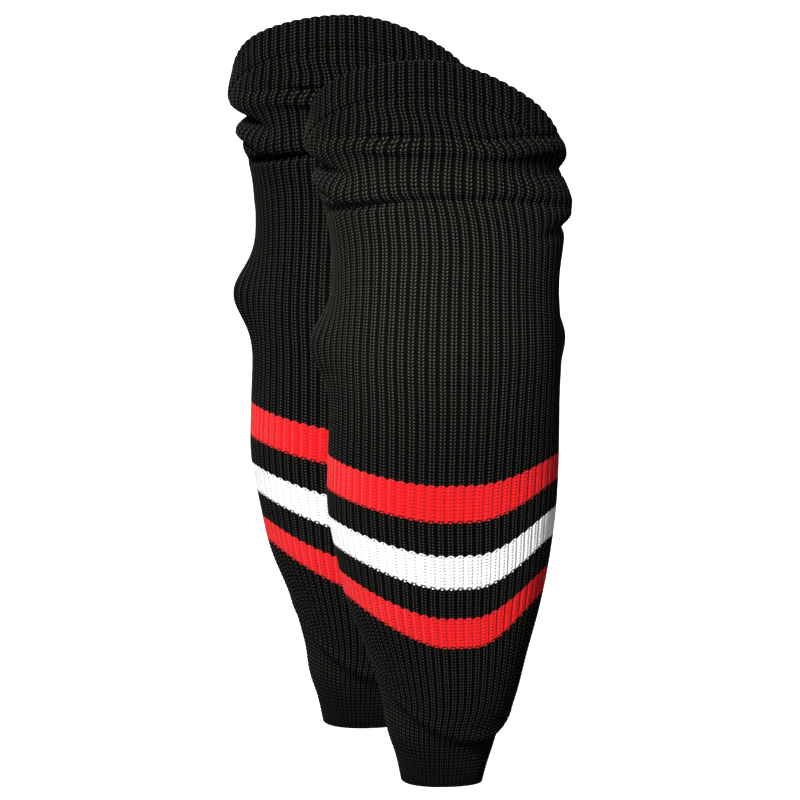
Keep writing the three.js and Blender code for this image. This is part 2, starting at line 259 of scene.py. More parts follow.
STITCH = 0.34  # half the height of a stitch's relief
V_SLANT = 1.35  # courses that a stitch's leg climbs from the rib's middle to its side
LEG_AT = 0.38
LEG_WIDE = 0.24
ARCH = 2.1  # how far a course rises on a rib above the valley beside it
SWAY = 1.8  # how far, in degrees of turn, the slack ribs waver
WELT_SEAM = 1.5  # depth of the dip where the welt is sewn down


def rib_place(rib):
    """0 on the middle of a rib, 1 in the valley beside it."""
    return np.abs((rib % 1) - 0.5) * 2


def relief(rib, course, depth):
    """The knit's own relief: ribs, and the two legs of each V-shaped stitch on them."""
    c = rib_place(rib)
    leg = np.exp(-(((c - LEG_AT) / LEG_WIDE) ** 2))
    bead = np.cos(2 * np.pi * (course - V_SLANT * c))
    purl = np.exp(-(((c - 1) / 0.2) ** 2)) * np.cos(2 * np.pi * course)
    groove = np.exp(-((c / 0.16) ** 2))
    return STITCH * (leg * bead + 0.5 * purl) - depth * c**2.6 - 0.22 * depth * groove


def knit_point(rib, turn, course, inset, detail):
    """Points of the sock. detail is 1 on the outer face, and less on the smoother inner one."""
    lift = ARCH * (1 - rib_place(rib) ** 2) * smoothstep(3, 14, course)
    lift = lift * (1 - 0.45 * smoothstep(LAST_COURSE - 6, LAST_COURSE, course))
    z = course_height(turn, course) + lift
    out, sag = folds(turn, z)
    z_fold = z - sag
    sway = SWAY * np.sin(z / 13 + turn / 21) * smoothstep(440, 490, z) * smoothstep(548, 528, z)
    welt_seam = WELT_SEAM * np.exp(-(((course - WELT_COURSE - 0.4) / 0.8) ** 2))
    out = out + ledge(turn, z) - welt_seam
    out = out + detail * relief(rib, course, rib_depth(turn, z))
    points = skin(turn + sway, z, inset - out)
    points[..., 2] = z_fold
    return points


# ---- Mesh makers ------------------------------------------------------------------------------------

def mesh_object(name, points, faces, uv=None, flat=None, centre=(0.0, 0.0)):
    """An object from points in millimetres and faces as a list of index arrays, each of one face size."""
    mesh = bpy.data.meshes.new(name)
    place = (np.asarray(points, float).reshape(-1, 3) + (*centre, 0)) * MM
    sizes = np.concatenate([np.full(len(f), f.shape[1]) for f in faces])
    loops = np.concatenate([f.ravel() for f in faces])
    mesh.vertices.add(len(place))
    mesh.vertices.foreach_set("co", place.astype(np.float32).ravel())
    mesh.loops.add(len(loops))
    mesh.loops.foreach_set("vertex_index", loops.astype(np.int32))
    mesh.polygons.add(len(sizes))
    mesh.polygons.foreach_set("loop_start", np.concatenate([[0], np.cumsum(sizes)[:-1]]).astype(np.int32))
    if flat is not None:
        mesh.attributes.new("sharp_face", "BOOLEAN", "FACE").data.foreach_set("value", flat)
    if uv is not None:
        layer = mesh.uv_layers.new(name="knit")
        corners = np.concatenate([u.reshape(-1, 2) for u in uv])
        layer.data.foreach_set("uv", corners.astype(np.float32).ravel())
    mesh.update(calc_edges=True)
    mesh.validate()
    obj = bpy.data.objects.new(name, mesh)
    bpy.context.scene.collection.objects.link(obj)
    return obj


def grid_faces(rows, columns, start, turned=False):
    """Quads of a grid that closes on itself around the leg, with each corner's row and column."""
    r, c = np.meshgrid(np.arange(rows - 1), np.arange(columns), indexing="ij")
    corner_rows = np.stack([r, r, r + 1, r + 1], axis=-1).reshape(-1, 4)
    corner_columns = np.stack([c, c + 1, c + 1, c], axis=-1).reshape(-1, 4)
    if turned:
        corner_rows, corner_columns = corner_rows[:, ::-1], corner_columns[:, ::-1]
    return start + corner_rows * columns + corner_columns % columns, corner_rows, corner_columns


def strip_faces(outer_start, inner_start, outer_columns, upward):
    """Six-sided faces between a row of the outer face and the coarser inner one."""
    k = np.arange(outer_columns // INNER_STEP)
    outer = k[:, None] * INNER_STEP + np.arange(INNER_STEP + 1)
    inner = k[:, None] + np.array([1, 0])
    corners = np.concatenate([outer, inner * INNER_STEP], axis=1)
    faces = np.concatenate([
        outer_start + outer % outer_columns,
        inner_start + inner % (outer_columns // INNER_STEP),
    ], axis=1)
    if not upward:
        faces, corners = faces[:, ::-1], corners[:, ::-1]
    return faces, corners


def knit_band(name, centre, ranges, wall, round_top):
    """A piece of the sock: a closed tube of knit for each range of courses."""
    turns = rib_turns()
    columns = len(turns)
    ribs = np.arange(columns) / RIB_COLUMNS
    inner_turns, inner_ribs = turns[::INNER_STEP], ribs[::INNER_STEP]
    points, faces, uvs, flats, count = [], [], [], [], 0
    for first, last in ranges:
        courses = np.linspace(first, last, (last - first) * COURSE_ROWS + 1)
        outer = knit_point(ribs[None], turns[None], courses[:, None], 0.0, 1.0)
        inner_courses = np.linspace(first, last, (last - first) + 1)
        inner = knit_point(inner_ribs[None], inner_turns[None], inner_courses[:, None], wall, INNER_DETAIL)
        if round_top:
            roll = roll_rows(outer[-1], wall)
            outer = np.concatenate([outer, roll])
            courses = np.concatenate([courses, last + ROLL_COURSE * np.arange(1, len(roll) + 1)])
            inner[-1] = outer[-1][::INNER_STEP]
        low, up = count, count + outer.shape[0] * columns
        inner_columns = columns // INNER_STEP
        quads, r, c = grid_faces(outer.shape[0], columns, low)
        uvs.append(np.stack([c / RIB_COLUMNS, courses[r]], axis=-1))
        inner_quads, ri, ci = grid_faces(inner.shape[0], inner_columns, up, turned=True)
        uvs.append(np.stack([ci * INNER_STEP / RIB_COLUMNS, inner_courses[ri]], axis=-1))
        top, top_c = strip_faces(up - columns, up + (inner.shape[0] - 1) * inner_columns, columns, True)
        bottom, bottom_c = strip_faces(low, up, columns, False)
        uvs.append(np.stack([top_c / RIB_COLUMNS, np.full(top_c.shape, courses[-1])], axis=-1))
        uvs.append(np.stack([bottom_c / RIB_COLUMNS, np.full(bottom_c.shape, courses[0])], axis=-1))
        faces += [quads, inner_quads, top, bottom]
        flats += [np.zeros(len(quads) + len(inner_quads), bool)]
        flats += [np.full(len(top), not round_top), np.ones(len(bottom), bool)]
        points += [outer.reshape(-1, 3), inner.reshape(-1, 3)]
        count = up + inner.shape[0] * inner_columns
    # The index arrays were appended range by range, each of one face size, in the order of the uvs.
    return mesh_object(name, np.concatenate(points), faces, uvs, np.concatenate(flats), centre)


def roll_rows(edge, wall):
    """Rows that turn the sock's top edge over to its inside in a half circle."""
    steps = 5
    middle = edge[:, :2].mean(axis=0)
    inward = middle - edge[:, :2]
    inward /= np.linalg.norm(inward, axis=1)[:, None]
    rows = []
    for k in range(1, steps + 1):
        angle = math.pi * k / steps
        shift = inward * (wall / 2) * (1 - math.cos(angle))
        lift = (wall / 2) * ROLL_FLATNESS * math.sin(angle)
        rows.append(np.column_stack([edge[:, :2] + shift, edge[:, 2] + lift]))
    return np.array(rows)


# ---- Materials --------------------------------------------------------------------------------------

class Graph:
    """A material's nodes, built by plain calls: each returns a socket that later calls take."""

    def __init__(self, name):
        self.material = bpy.data.materials.new(name)
        self.material.use_nodes = True
        self.tree = self.material.node_tree
        self.shader = self.tree.nodes["Principled BSDF"]

    def node(self, kind, **values):
        made = self.tree.nodes.new(kind)
        for key, value in values.items():
            setattr(made, key, value)
        return made

    def link(self, value, socket):
        if isinstance(value, bpy.types.NodeSocket):
            self.tree.links.new(value, socket)
        else:
            socket.default_value = value

    def math(self, operation, *values):
        made = self.node("ShaderNodeMath", operation=operation)
        for value, socket in zip(values, made.inputs):
            self.link(value, socket)
        return made.outputs[0]

    def bump_at(self, value, middle, width):
        """A soft peak of height 1 where value is middle."""
        away = self.math("DIVIDE", self.math("SUBTRACT", value, middle), width)
        return self.math("EXPONENT", self.math("MULTIPLY", self.math("MULTIPLY", away, away), -1.0))

    def mix(self, share, a, b):
        made = self.node("ShaderNodeMix", data_type="RGBA")
        self.link(share, made.inputs[0])
        self.link(a, made.inputs[6])
        self.link(b, made.inputs[7])
        return made.outputs[2]

    def noise(self, coordinates, scale, detail=2.0):
        made = self.node("ShaderNodeTexNoise")
        self.link(coordinates, made.inputs["Vector"])
        made.inputs["Scale"].default_value = scale
        made.inputs["Detail"].default_value = detail
        return made.outputs["Fac"]

    def bump(self, height, strength, distance):
        made = self.node("ShaderNodeBump")
        made.inputs["Strength"].default_value = strength
        made.inputs["Distance"].default_value = distance
        self.link(height, made.inputs["Height"])
        return made.outputs["Normal"]

    def set(self, **values):
        for key, value in values.items():
            self.link(value, self.shader.inputs[key.replace("_", " ")])


def yarn(name, strand, painted_gap_shade, sharpness, roughness, sheen, specular, eyes):
    """Rib knit from the knit's own coordinates: V-shaped stitches, gaps darkened as painted shade, and
    twisted fibres.

    eyes are the courses at which the next band's yarn shows through on each rib, with its colour.
    """
    g = Graph(name)
    uv = g.node("ShaderNodeUVMap", uv_map="knit").outputs[0]
    split = g.node("ShaderNodeSeparateXYZ")
    g.link(uv, split.inputs[0])
    rib, course = split.outputs[0], split.outputs[1]
    c = g.math("ABSOLUTE", g.math("SUBTRACT", g.math("MULTIPLY", g.math("FRACT", rib), 2.0), 1.0))
    phase = g.math("SUBTRACT", course, g.math("MULTIPLY", c, V_SLANT))
    wave = g.math("COSINE", g.math("MULTIPLY", phase, 2 * math.pi))
    bead = g.math("MULTIPLY_ADD", wave, 0.5, 0.5)
    leg = g.bump_at(c, LEG_AT, LEG_WIDE)
    stitch = g.math("MULTIPLY", leg, g.math("POWER", bead, 0.7))
    flat_wave = g.math("MULTIPLY_ADD", g.math("COSINE", g.math("MULTIPLY", course, 2 * math.pi)), 0.5, 0.5)
    purl = g.math("MULTIPLY", g.bump_at(c, 1.0, 0.2), flat_wave)
    body = g.math("ADD", stitch, g.math("MULTIPLY", purl, 0.15))
    stretch = g.node("ShaderNodeMapping")
    g.link(uv, stretch.inputs[0])
    stretch.inputs["Scale"].default_value = (14.0, 3.0, 1.0)
    stretch.inputs["Rotation"].default_value = (0, 0, 0.5)
    fibre = g.noise(stretch.outputs[0], 2.2, 3.0)
    patch = g.noise(uv, 0.09, 3.0)
    height = g.math("ADD", body, g.math("MULTIPLY", fibre, 0.25))
    # Painted light and shade: the mask gives stitch crowns and fibres the strand colour, and the gaps
    # between them the darker gap colour.
    painted_light_mask = g.math("MULTIPLY_ADD", body, 0.85, g.math("MULTIPLY", g.math("SUBTRACT", fibre, 0.5), 0.5))
    painted_light_mask = g.math("POWER", g.math("MINIMUM", g.math("MAXIMUM", painted_light_mask, 0.0), 1.0), sharpness)
    # Random patches vary the yarn's tone; below course 15, painted shade darkens the ankle towards the
    # bottom.
    tone_and_painted_shade = g.math("MULTIPLY_ADD", patch, 0.3, 0.85)
    ankle_painted_shade = g.math("MINIMUM", g.math("MULTIPLY_ADD", course, 0.03, 0.55), 1.0)
    tone_and_painted_shade = g.math("MULTIPLY", tone_and_painted_shade, ankle_painted_shade)
    colour = g.mix(painted_light_mask, painted_gap_shade, strand)
    for edge, other in eyes:
        spot = g.math("MULTIPLY", g.bump_at(c, 0.0, EYE["wide"]),
                      g.bump_at(course, edge - 0.5, EYE["tall"]))
        colour = g.mix(g.math("GREATER_THAN", spot, 0.5), colour, other)
    scale = g.node("ShaderNodeVectorMath", operation="SCALE")
    g.link(colour, scale.inputs[0])
    g.link(tone_and_painted_shade, scale.inputs["Scale"])
    g.set(Base_Color=scale.outputs[0], Roughness=g.math("MULTIPLY_ADD", body, roughness - 1.0, 1.0),
          Normal=g.bump(height, 0.8, 0.001))
    g.set(Sheen_Weight=sheen, Sheen_Roughness=0.45, Specular_IOR_Level=specular)
    return g.material


EYE = {"wide": 0.24, "tall": 0.3}  # a stitch of one band's yarn seen in the next
BLACK = (0.03, 0.0296, 0.025, 1)
BLACK_PAINTED_HIGHLIGHT = (0.084, 0.083, 0.071, 1)  # the crown of each black stitch, far brighter than the yarn: a painted highlight
RED = (0.95, 0.016, 0.02, 1)
WHITE_COLOUR = (0.93, 0.93, 0.925, 1)
# Each yarn's gap colour is painted shade between stitches; black's strand colour is a painted highlight.
YARNS = {
    "black_yarn": yarn("black_knit", strand=BLACK_PAINTED_HIGHLIGHT, painted_gap_shade=(0.0008, 0.0008, 0.0007, 1), sharpness=2.4,
                       roughness=0.6, sheen=0.0, specular=0.04,
                       eyes=[(48, RED), (67, WHITE_COLOUR), (88, RED)]),
    "red_yarn": yarn("red_knit", strand=RED, painted_gap_shade=(0.6, 0.004, 0.007, 1), sharpness=1.0,
                     roughness=0.85, sheen=0.1, specular=0.15, eyes=[(57, BLACK), (98, BLACK)]),
    "white_yarn": yarn("white_knit", strand=WHITE_COLOUR, painted_gap_shade=(0.8, 0.81, 0.81, 1), sharpness=1.0,
                       roughness=0.9, sheen=0.1, specular=0.15, eyes=[(77, BLACK)]),
}

# ---- The socks --------------------------------------------------------------------------------------

# Each piece: its ranges of courses, its yarn and the CAD nodes it stands for.
KNEE_TOP, KNEE_SPLIT, THIGH_FOLD_TOP = 158, 128, 187
SOCK = {
    "hem_knit": ([(0, 8)], "black_yarn", ["sock_hem"]),
    "ankle_knit": ([(8, 48)], "black_yarn", ["sock_ankle"]),
    "red_band_lower": ([(48, 57)], "red_yarn", ["sock_stripe_red_lower"]),
    "between_knit": ([(57, 67), (77, 88)], "black_yarn", ["sock_leg"]),
    "white_band": ([(67, 77)], "white_yarn", ["sock_stripe_white"]),
    "red_band_upper": ([(88, 98)], "red_yarn", ["sock_stripe_red_upper"]),
    "knee_fold_knit": ([(98, KNEE_SPLIT)], "black_yarn", ["sock_knee_fold"]),
    "knee_knit": ([(KNEE_SPLIT, KNEE_TOP)], "black_yarn", ["sock_knee"]),
    "thigh_fold_knit": ([(KNEE_TOP, THIGH_FOLD_TOP)], "black_yarn", ["sock_thigh_fold"]),
    "thigh_knit": ([(THIGH_FOLD_TOP, WELT_COURSE)], "black_yarn", ["sock_thigh"]),
    "welt_knit": ([(WELT_COURSE, LAST_COURSE)], "black_yarn", ["sock_welt"]),
}
# Where the knit would turn from one body to the next, though bend() does not read these: the middle of the
# leg, and how each slants to the back.
KNEE_BEND = {"from": 266, "to": 349, "rise_to_back": 0.15}
THIGH_BEND = {"from": 394, "to": 421, "rise_to_back": -0.26}


def bend(piece, side, lower, upper, span):
    """Bakes the piece's placement into its mesh; the piece is not turned from one body to the next."""
    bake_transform(piece)


def make_sock(side):
    for part, (ranges, slot, nodes) in SOCK.items():
        wall = WALL["doubled" if part in ("hem_knit", "welt_knit") else "single"]
        piece = knit_band(f"{side}_{part}", GUARDS[side], ranges, wall, round_top=part == "welt_knit")
        piece.data.materials.append(YARNS[slot])
        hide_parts(*[f"{side}_{node}" for node in nodes])
        if part in ("knee_fold_knit", "knee_knit"):
            bend(piece, side, "shin", "knee", KNEE_BEND)
        elif part == "thigh_fold_knit":
            bend(piece, side, "knee", "thigh", THIGH_BEND)
        else:
            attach(piece, f"{side}_thigh" if part in ("thigh_knit", "welt_knit") else f"{side}_shin")


for side in GUARDS:
    make_sock(side)

# ---- Panels: every plate, strap and pad inside the sock ---------------------------------------------

SHELL = 9.2  # how far under the sock's outer face the rigid plates' outer faces are
STRAP = 6.4  # and the straps' outer faces
GUARD_LOW = {"front": 36, "climb": 50}  # the guard's lower edge climbs to the sides
TUCK = {"from": 270, "to": 298, "depth": 8.5}
MM_PER_DEGREE = math.radians(1) * 85  # around a leg of the usual radius


def guard_low(turn):
    return GUARD_LOW["front"] + GUARD_LOW["climb"] * (1 - np.cos(np.radians(turn)))


def tuck(z):
    """The shin shell's top slips behind the knee cap."""
    return SHELL + TUCK["depth"] * smoothstep(TUCK["from"], TUCK["to"], z)


def knee_cap(z):
    """The knee cap's lower and upper rims turn in."""
    return SHELL + 3.2 * (1 - smoothstep(300, 322, z)) + smoothstep(398, 414, z)


def level(height):
    return lambda turn: height + 0 * turn


def arch(peak, drop, half):
    return lambda turn: peak - drop * (turn / half) ** 2


def wrap_low(turn):
    return 92 + 14 * np.cos(np.radians(2 * turn))


def wrap_high(turn):
    return 246 + 10 * np.cos(np.radians(2 * turn))


def panel_grid(shape, columns, rows, shrink=0.0):
    """Turn, height, distance in from the border and place across of a panel's grid, with soft corners."""
    start, stop = shape["turns"]
    u = np.sin(np.linspace(-0.5, 0.5, columns) * math.pi)[None]
    v = np.sin(np.linspace(-0.5, 0.5, rows) * math.pi)[:, None]
    corner = shape.get("corner", 0.25)
    across = u * np.sqrt(1 - corner * v**2 / 2)
    up = v * np.sqrt(1 - corner * u**2 / 2)
    wide = abs(stop - start) / 2 * MM_PER_DEGREE
    turn = (start + stop) / 2 + (stop - start) / 2 * across * (1 - shrink / wide)
    low, high = shape["low"](turn), shape["high"](turn)
    tall = (high - low) / 2
    z = (low + high) / 2 + tall * up * (1 - shrink / tall)
    inside = np.minimum((1 - np.abs(u)) * wide + 0 * v, (1 - np.abs(v)) * tall)
    return turn, z, inside, across, up


def panel(name, shape, columns, rows, centre, shrink=0.0, thick=None):
    """A closed curved plate with rounded edges, built between two offsets of the body form."""
    turn, z, inside, across, up = panel_grid(shape, columns, rows, shrink)
    full = shape["thick"] if thick is None else thick
    outer = shape["outer"](z) if callable(shape["outer"]) else shape["outer"]
    outer = outer + (shape["thick"] - full) / 2
    share = np.clip(1 - inside / (full / 2), 0, 1)
    rounding = full / 2 * (1 - np.sqrt(1 - share**2))
    lift = shape["relief"](across, up, inside) if "relief" in shape else 0.0
    outside = skin(turn, z, outer + rounding - lift)
    within = skin(turn, z, outer + full - rounding)
    count = rows * columns
    index = np.arange(count).reshape(rows, columns)
    border = np.zeros((rows, columns), bool)
    border[[0, -1]] = True
    border[:, [0, -1]] = True
    mirror = np.where(border, index, index + count)  # the two faces share their border
    quad = np.stack([index[:-1, :-1], index[:-1, 1:], index[1:, 1:], index[1:, :-1]], axis=-1)
    quad = quad.reshape(-1, 4)
    back = mirror.ravel()[quad][:, ::-1]
    place = np.stack([turn * MM_PER_DEGREE, z], axis=-1).reshape(-1, 2)
    used = np.concatenate([np.arange(count), count + np.flatnonzero(~border)])
    renumber = np.zeros(2 * count, int)
    renumber[used] = np.arange(len(used))
    points = np.concatenate([outside.reshape(-1, 3), within.reshape(-1, 3)])[used]
    uv = [place[quad], place[quad[:, ::-1]]]
    return mesh_object(name, points, [renumber[quad], renumber[back]], uv, centre=centre)


def shell_ribs(count, wide, high):
    """Moulded ribs that run up a plate, fading before its border."""
    def lift(across, up, inside):
        fade = smoothstep(6, 16, inside)
        wave = sum(np.exp(-(((across - place) / wide) ** 2)) for place in np.linspace(-0.55, 0.55, count))
        return high * wave * fade
    return lift


def hem_stitches(across, up, inside):
    """A strap's two sewn edges stand a little proud."""
    return 0.25 * np.exp(-(((inside - 2.5) / 0.9) ** 2))


def strap(turns, low, high, outer=STRAP, thick=1.8, corner=0.0):
    return {"turns": turns, "low": level(low), "high": level(high), "outer": outer, "thick": thick,
            "relief": hem_stitches, "corner": corner}


# Each piece: its turns, edges, depth under the sock, thickness, relief and how much its corners are cut.
PLATES = {
    "shin_plate": {"turns": (-66, 66), "low": lambda t: guard_low(t) + 27, "high": arch(308, 22, 66),
                   "outer": tuck, "thick": 3.2, "relief": shell_ribs(3, 0.05, 1.2), "corner": 0.3},
    "knee_cap": {"turns": (-118, 118), "low": arch(302, -16, 120), "high": arch(412, 34, 120),
                 "outer": knee_cap, "thick": 3.2, "relief": shell_ribs(5, 0.03, 1.0), "corner": 0.3},
    "thigh_guard": {"turns": (-46, 46), "low": level(440), "high": arch(544, 30, 46), "outer": 7.0,
                    "thick": 2.4, "relief": shell_ribs(3, 0.07, 0.8), "corner": 0.4},
}
STRAPS = {
    "upper_strap": strap((48, 312), 200, 236),
    "lower_strap": strap((48, 312), 122, 150),
    "knee_strap": strap((122, 238), 352, 382, outer=SHELL, thick=2.0),
    "link_right": strap((52, 64), 264, 336, corner=0.1),
    "link_left": strap((-64, -52), 264, 336, corner=0.1),
    "thigh_hanger": strap((-20, 20), 386, 454, outer=14.3, thick=1.6),
}
PADS = {
    "shin_pad": {"turns": (-60, 60), "low": lambda t: guard_low(t) + 34, "high": level(262), "outer": 14.0,
                 "thick": 9.0, "seams": (-30, 0, 30)},
    "ankle_pad": {"turns": (-62, 62), "low": guard_low, "high": lambda t: guard_low(t) + 26, "outer": 7.0,
                  "thick": 8.0, "seams": (-31, 0, 31)},
    "calf_pad_right": {"turns": (68, 176), "low": wrap_low, "high": wrap_high, "outer": 9.6, "thick": 7.0,
                       "seams": (95, 122, 149)},
    "calf_pad_left": {"turns": (-176, -68), "low": wrap_low, "high": wrap_high, "outer": 9.6, "thick": 7.0,
                      "seams": (-149, -122, -95)},
    "knee_pad": {"turns": (-70, 70), "low": level(318), "high": level(398), "outer": 17.2, "thick": 11.0,
                 "seams": (-35, 35)},
    "thigh_cushion": {"turns": (-64, 64), "low": level(434), "high": arch(560, 56, 64), "outer": 16.5,
                      "thick": 11.0, "seams": (-32, 0, 32)},
}

# ---- Pads: inflated by cloth simulation, then quilted -----------------------------------------------

PAD_SHRINK = 3.0  # a pad starts this much smaller all round, and swells
PAD_START = 0.72  # of its full thickness
PAD_VOXEL = 4.5
PAD_PRESSURE = 4.0
PAD_CAP = 6.0
PAD_FRAMES = 20
SEAM_WIDTH = 2.6
SEAM_DEPTH = 0.62

# Columns and rows of each kind of panel's mesh.
PLATE_GRID = (121, 81)
STRAP_GRID = (61, 17)
PAD_GRID = (33, 25)


def evaluated_points(obj):
    made = obj.evaluated_get(bpy.context.evaluated_depsgraph_get())
    points = np.empty(len(made.data.vertices) * 3, np.float32)
    made.data.vertices.foreach_get("co", points)
    return points.reshape(-1, 3).astype(float)


def inflate(pads):
    """Swells the pads with pressure, all in one run. Each is left as a plain mesh."""
    bpy.context.view_layer.update()
    before = {}
    for pad in pads:
        remesh = pad.modifiers.new("remesh", "REMESH")
        remesh.mode = "VOXEL"
        remesh.voxel_size = PAD_VOXEL * MM
        mesh = bpy.data.meshes.new_from_object(pad.evaluated_get(bpy.context.evaluated_depsgraph_get()))
        pad.modifiers.clear()
        pad.data = mesh
        before[pad.name] = evaluated_points(pad)
        cloth = pad.modifiers.new("cloth", "CLOTH")
        cloth.settings.use_pressure = True
        cloth.settings.uniform_pressure_force = PAD_PRESSURE
        cloth.settings.effector_weights.gravity = 0.0
        cloth.settings.quality = 5
        cloth.point_cache.frame_start = 1
        cloth.point_cache.frame_end = PAD_FRAMES
    for number in range(1, PAD_FRAMES + 1):
        bpy.context.scene.frame_set(number)
    for pad in pads:
        start = before[pad.name]
        move = evaluated_points(pad) - start
        length = np.linalg.norm(move, axis=1)[:, None]
        move *= np.minimum(1, PAD_CAP * MM / np.maximum(length, 1e-9))
        pad.modifiers.clear()
        pad.data.vertices.foreach_set("co", (start + move).astype(np.float32).ravel())
    bpy.context.scene.frame_set(1)


def settle(pad, shape):
    """Keeps a pad inside its own layer, presses its quilting in, and smooths it."""
    smooth = pad.modifiers.new("smooth", "SUBSURF")
    smooth.levels = 1
    mesh = bpy.data.meshes.new_from_object(pad.evaluated_get(bpy.context.evaluated_depsgraph_get()))
    pad.modifiers.clear()
    pad.data = mesh
    points = np.empty(len(mesh.vertices) * 3, np.float32)
    mesh.vertices.foreach_get("co", points)
    points = points.reshape(-1, 3).astype(float) / MM
    z = points[:, 2]
    shift = section(z)[3]
    turn = np.degrees(np.arctan2(points[:, 0] - shift, -points[:, 1]))
    reach = np.hypot(points[:, 0] - shift, points[:, 1])
    surface = skin(turn, z, 0.0)
    inset = np.hypot(surface[:, 0] - shift, surface[:, 1]) - reach
    middle = shape["outer"] + shape["thick"] / 2
    seam = sum(np.exp(-((wrap_turn(turn - place) * MM_PER_DEGREE / SEAM_WIDTH) ** 2))
               for place in shape["seams"])
    inset = np.clip(inset, shape["outer"] + 0.2, shape["outer"] + shape["thick"] + 1.5)
    inset = middle + (inset - middle) * (1 - SEAM_DEPTH * np.minimum(seam, 1))
    placed = skin(turn, z, inset)
    mesh.vertices.foreach_set("co", (placed * MM).astype(np.float32).ravel())
    mesh.shade_smooth()
    mesh.update()


def make_pads():
    """Each pad's mesh around a leg at the origin; both guards use it."""
    pads = {}
    for name, shape in PADS.items():
        pads[name] = panel(f"form_{name}", shape, *PAD_GRID, (0.0, 0.0), shrink=PAD_SHRINK,
                           thick=shape["thick"] * PAD_START)
    inflate(list(pads.values()))
    for name, pad in pads.items():
        settle(pad, PADS[name])
    return pads


def on_guard(form, name, centre):
    """A copy of a form's mesh at a guard's place."""
    mesh = form.data.copy()
    mesh.transform(Matrix.Translation(Vector((*centre, 0)) * MM))
    piece = bpy.data.objects.new(name, mesh)
    bpy.context.scene.collection.objects.link(piece)
    return piece


# ---- Materials of the guard -------------------------------------------------------------------------

def plastic(name, colour, roughness):
    """Moulded plastic: fine grain, faint flow marks and slightly worn gloss."""
    g = Graph(name)
    place = g.node("ShaderNodeTexCoord").outputs["Object"]
    grain = g.noise(place, 2600.0, 2.0)
    flow = g.noise(place, 22.0, 4.0)
    dark = tuple(0.86 * c for c in colour[:3]) + (1,)
    g.set(Base_Color=g.mix(flow, dark, colour), Roughness=g.math("MULTIPLY_ADD", flow, 0.16, roughness),
          Normal=g.bump(grain, 0.25, 0.0002))
    g.set(Specular_IOR_Level=0.5)
    return g.material


def woven(name, colour, pitch, uv_map=None):
    """A plain weave. Its pitch is in metres or, where it follows a strap's own uv map, in millimetres."""
    g = Graph(name)
    if uv_map:
        place = g.node("ShaderNodeUVMap", uv_map=uv_map).outputs[0]
    else:
        place = g.node("ShaderNodeTexCoord").outputs["Object"]
    split = g.node("ShaderNodeSeparateXYZ")
    g.link(place, split.inputs[0])
    along = g.math("MULTIPLY", split.outputs[0], 2 * math.pi / pitch)
    up = g.math("MULTIPLY", split.outputs[1 if uv_map else 2], 2 * math.pi / pitch)
    weave = g.math("MULTIPLY", g.math("SINE", along), g.math("SINE", up))
    height = g.math("MULTIPLY_ADD", weave, 0.5, 0.5)
    wear = g.noise(place, 0.03 if uv_map else 30.0, 3.0)
    # The weave's low points take a darker colour: painted shade in the weave's recesses.
    dark = tuple(0.45 * c for c in colour[:3]) + (1,)
    scale = g.node("ShaderNodeVectorMath", operation="SCALE")
    g.link(g.mix(height, dark, colour), scale.inputs[0])
    g.link(g.math("MULTIPLY_ADD", wear, 0.4, 0.8), scale.inputs["Scale"])
    g.set(Base_Color=scale.outputs[0], Roughness=g.math("MULTIPLY_ADD", height, -0.12, 0.88),
          Normal=g.bump(height, 0.5, 0.0005))
    g.set(Sheen_Weight=0.1, Sheen_Roughness=0.5, Specular_IOR_Level=0.25)
    return g.material


def steel(name):
    g = Graph(name)
    place = g.node("ShaderNodeTexCoord").outputs["Object"]
    brushed = g.noise(place, 900.0, 4.0)
    g.set(Base_Color=g.mix(brushed, (0.42, 0.43, 0.44, 1), (0.6, 0.61, 0.62, 1)),
          Roughness=g.math("MULTIPLY_ADD", brushed, 0.3, 0.22), Normal=g.bump(brushed, 0.15, 0.0002))
    g.set(Metallic=1.0)
    return g.material


FINISH = {
    "shell_plastic": plastic("moulded_shell", (0.8, 0.8, 0.78, 1), 0.3),
    "clip_plastic": plastic("moulded_clip", (0.02, 0.02, 0.022, 1), 0.35),
    "padding": woven("pad_cloth", (0.075, 0.08, 0.09, 1), 0.0016),
    "webbing": woven("strap_webbing", (0.032, 0.032, 0.036, 1), 1.8, uv_map="knit"),
    "rivet_steel": steel("brushed_steel"),
}

# Each piece of the guard: the body it rides on, or two bodies and a span that bend() is given but does not
# use, its material, and the CAD node it stands for.
GUARD_PIECES = {
    "shin_plate": ("shin", "shell_plastic", "shin_shell"),
    "knee_cap": ("knee", "shell_plastic", "knee_shell"),
    "thigh_guard": ("thigh", "shell_plastic", "thigh_plate"),
    "upper_strap": ("shin", "webbing", "calf_strap_upper"),
    "lower_strap": ("shin", "webbing", "calf_strap_lower"),
    "knee_strap": ("knee", "webbing", "knee_sling"),
    "link_right": (("shin", "knee", KNEE_BEND), "webbing", "knee_link_right"),
    "link_left": (("shin", "knee", KNEE_BEND), "webbing", "knee_link_left"),
    "thigh_hanger": (("knee", "thigh", THIGH_BEND), "webbing", "thigh_hinge"),
    "shin_pad": ("shin", "padding", "shin_liner"),
    "ankle_pad": ("shin", "padding", "ankle_bumper"),
    "calf_pad_right": ("shin", "padding", "calf_wrap_right"),
    "calf_pad_left": ("shin", "padding", "calf_wrap_left"),
    "knee_pad": ("knee", "padding", "knee_liner"),
    "thigh_cushion": ("thigh", "padding", "thigh_pad"),
}


